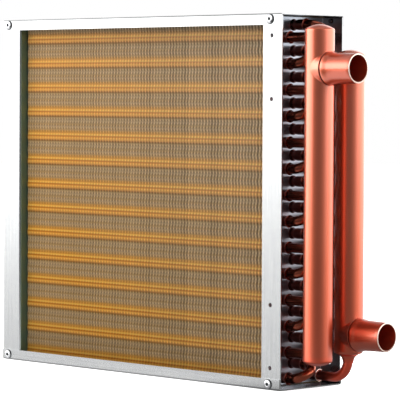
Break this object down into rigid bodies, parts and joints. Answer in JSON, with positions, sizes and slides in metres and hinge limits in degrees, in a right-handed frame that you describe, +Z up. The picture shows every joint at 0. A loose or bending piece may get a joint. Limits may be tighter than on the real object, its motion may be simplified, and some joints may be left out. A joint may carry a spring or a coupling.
{
  "type": "air-to-water heat exchanger coil",
  "caption": "Boxed water coil for a duct: finned copper tubes in a folded steel casing, with two upright copper headers and pipe ports at one end.",
  "frame": {"origin": "middle of the casing's underside", "axes": "+X along the tubes towards the headers, +Y through the fins from the front air face to the back one, +Z up"},
  "size_m": [0.4873, 0.0922, 0.363],
  "materials": {
    "galvanised_sheet": "galvanised, satin",
    "fin_foil": "bright rolled foil",
    "copper_tube": "drawn copper, satin",
    "rivet_metal": "plain"
  },
  "bodies": {
    "root": {"top_channel": "galvanised_sheet", "bottom_channel": "galvanised_sheet", "header_end_sheet": "galvanised_sheet", "bend_end_sheet": "galvanised_sheet", "fin_pack": "fin_foil", "front_rivets": "rivet_metal", "back_rivets": "rivet_metal", "return_bends": "copper_tube", "supply_feeders": "copper_tube", "return_feeders": "copper_tube", "return_elbow": "copper_tube", "supply_header": "copper_tube", "return_header": "copper_tube", "supply_port": "copper_tube", "return_port": "copper_tube", "header_caps": "copper_tube", "circuit_1_hairpins": "copper_tube", "circuit_2_hairpins": "copper_tube", "circuit_3_hairpins": "copper_tube", "circuit_4_hairpins": "copper_tube", "circuit_5_hairpins": "copper_tube", "circuit_6_hairpins": "copper_tube", "circuit_7_hairpins": "copper_tube"}
  },
  "joints": []
}
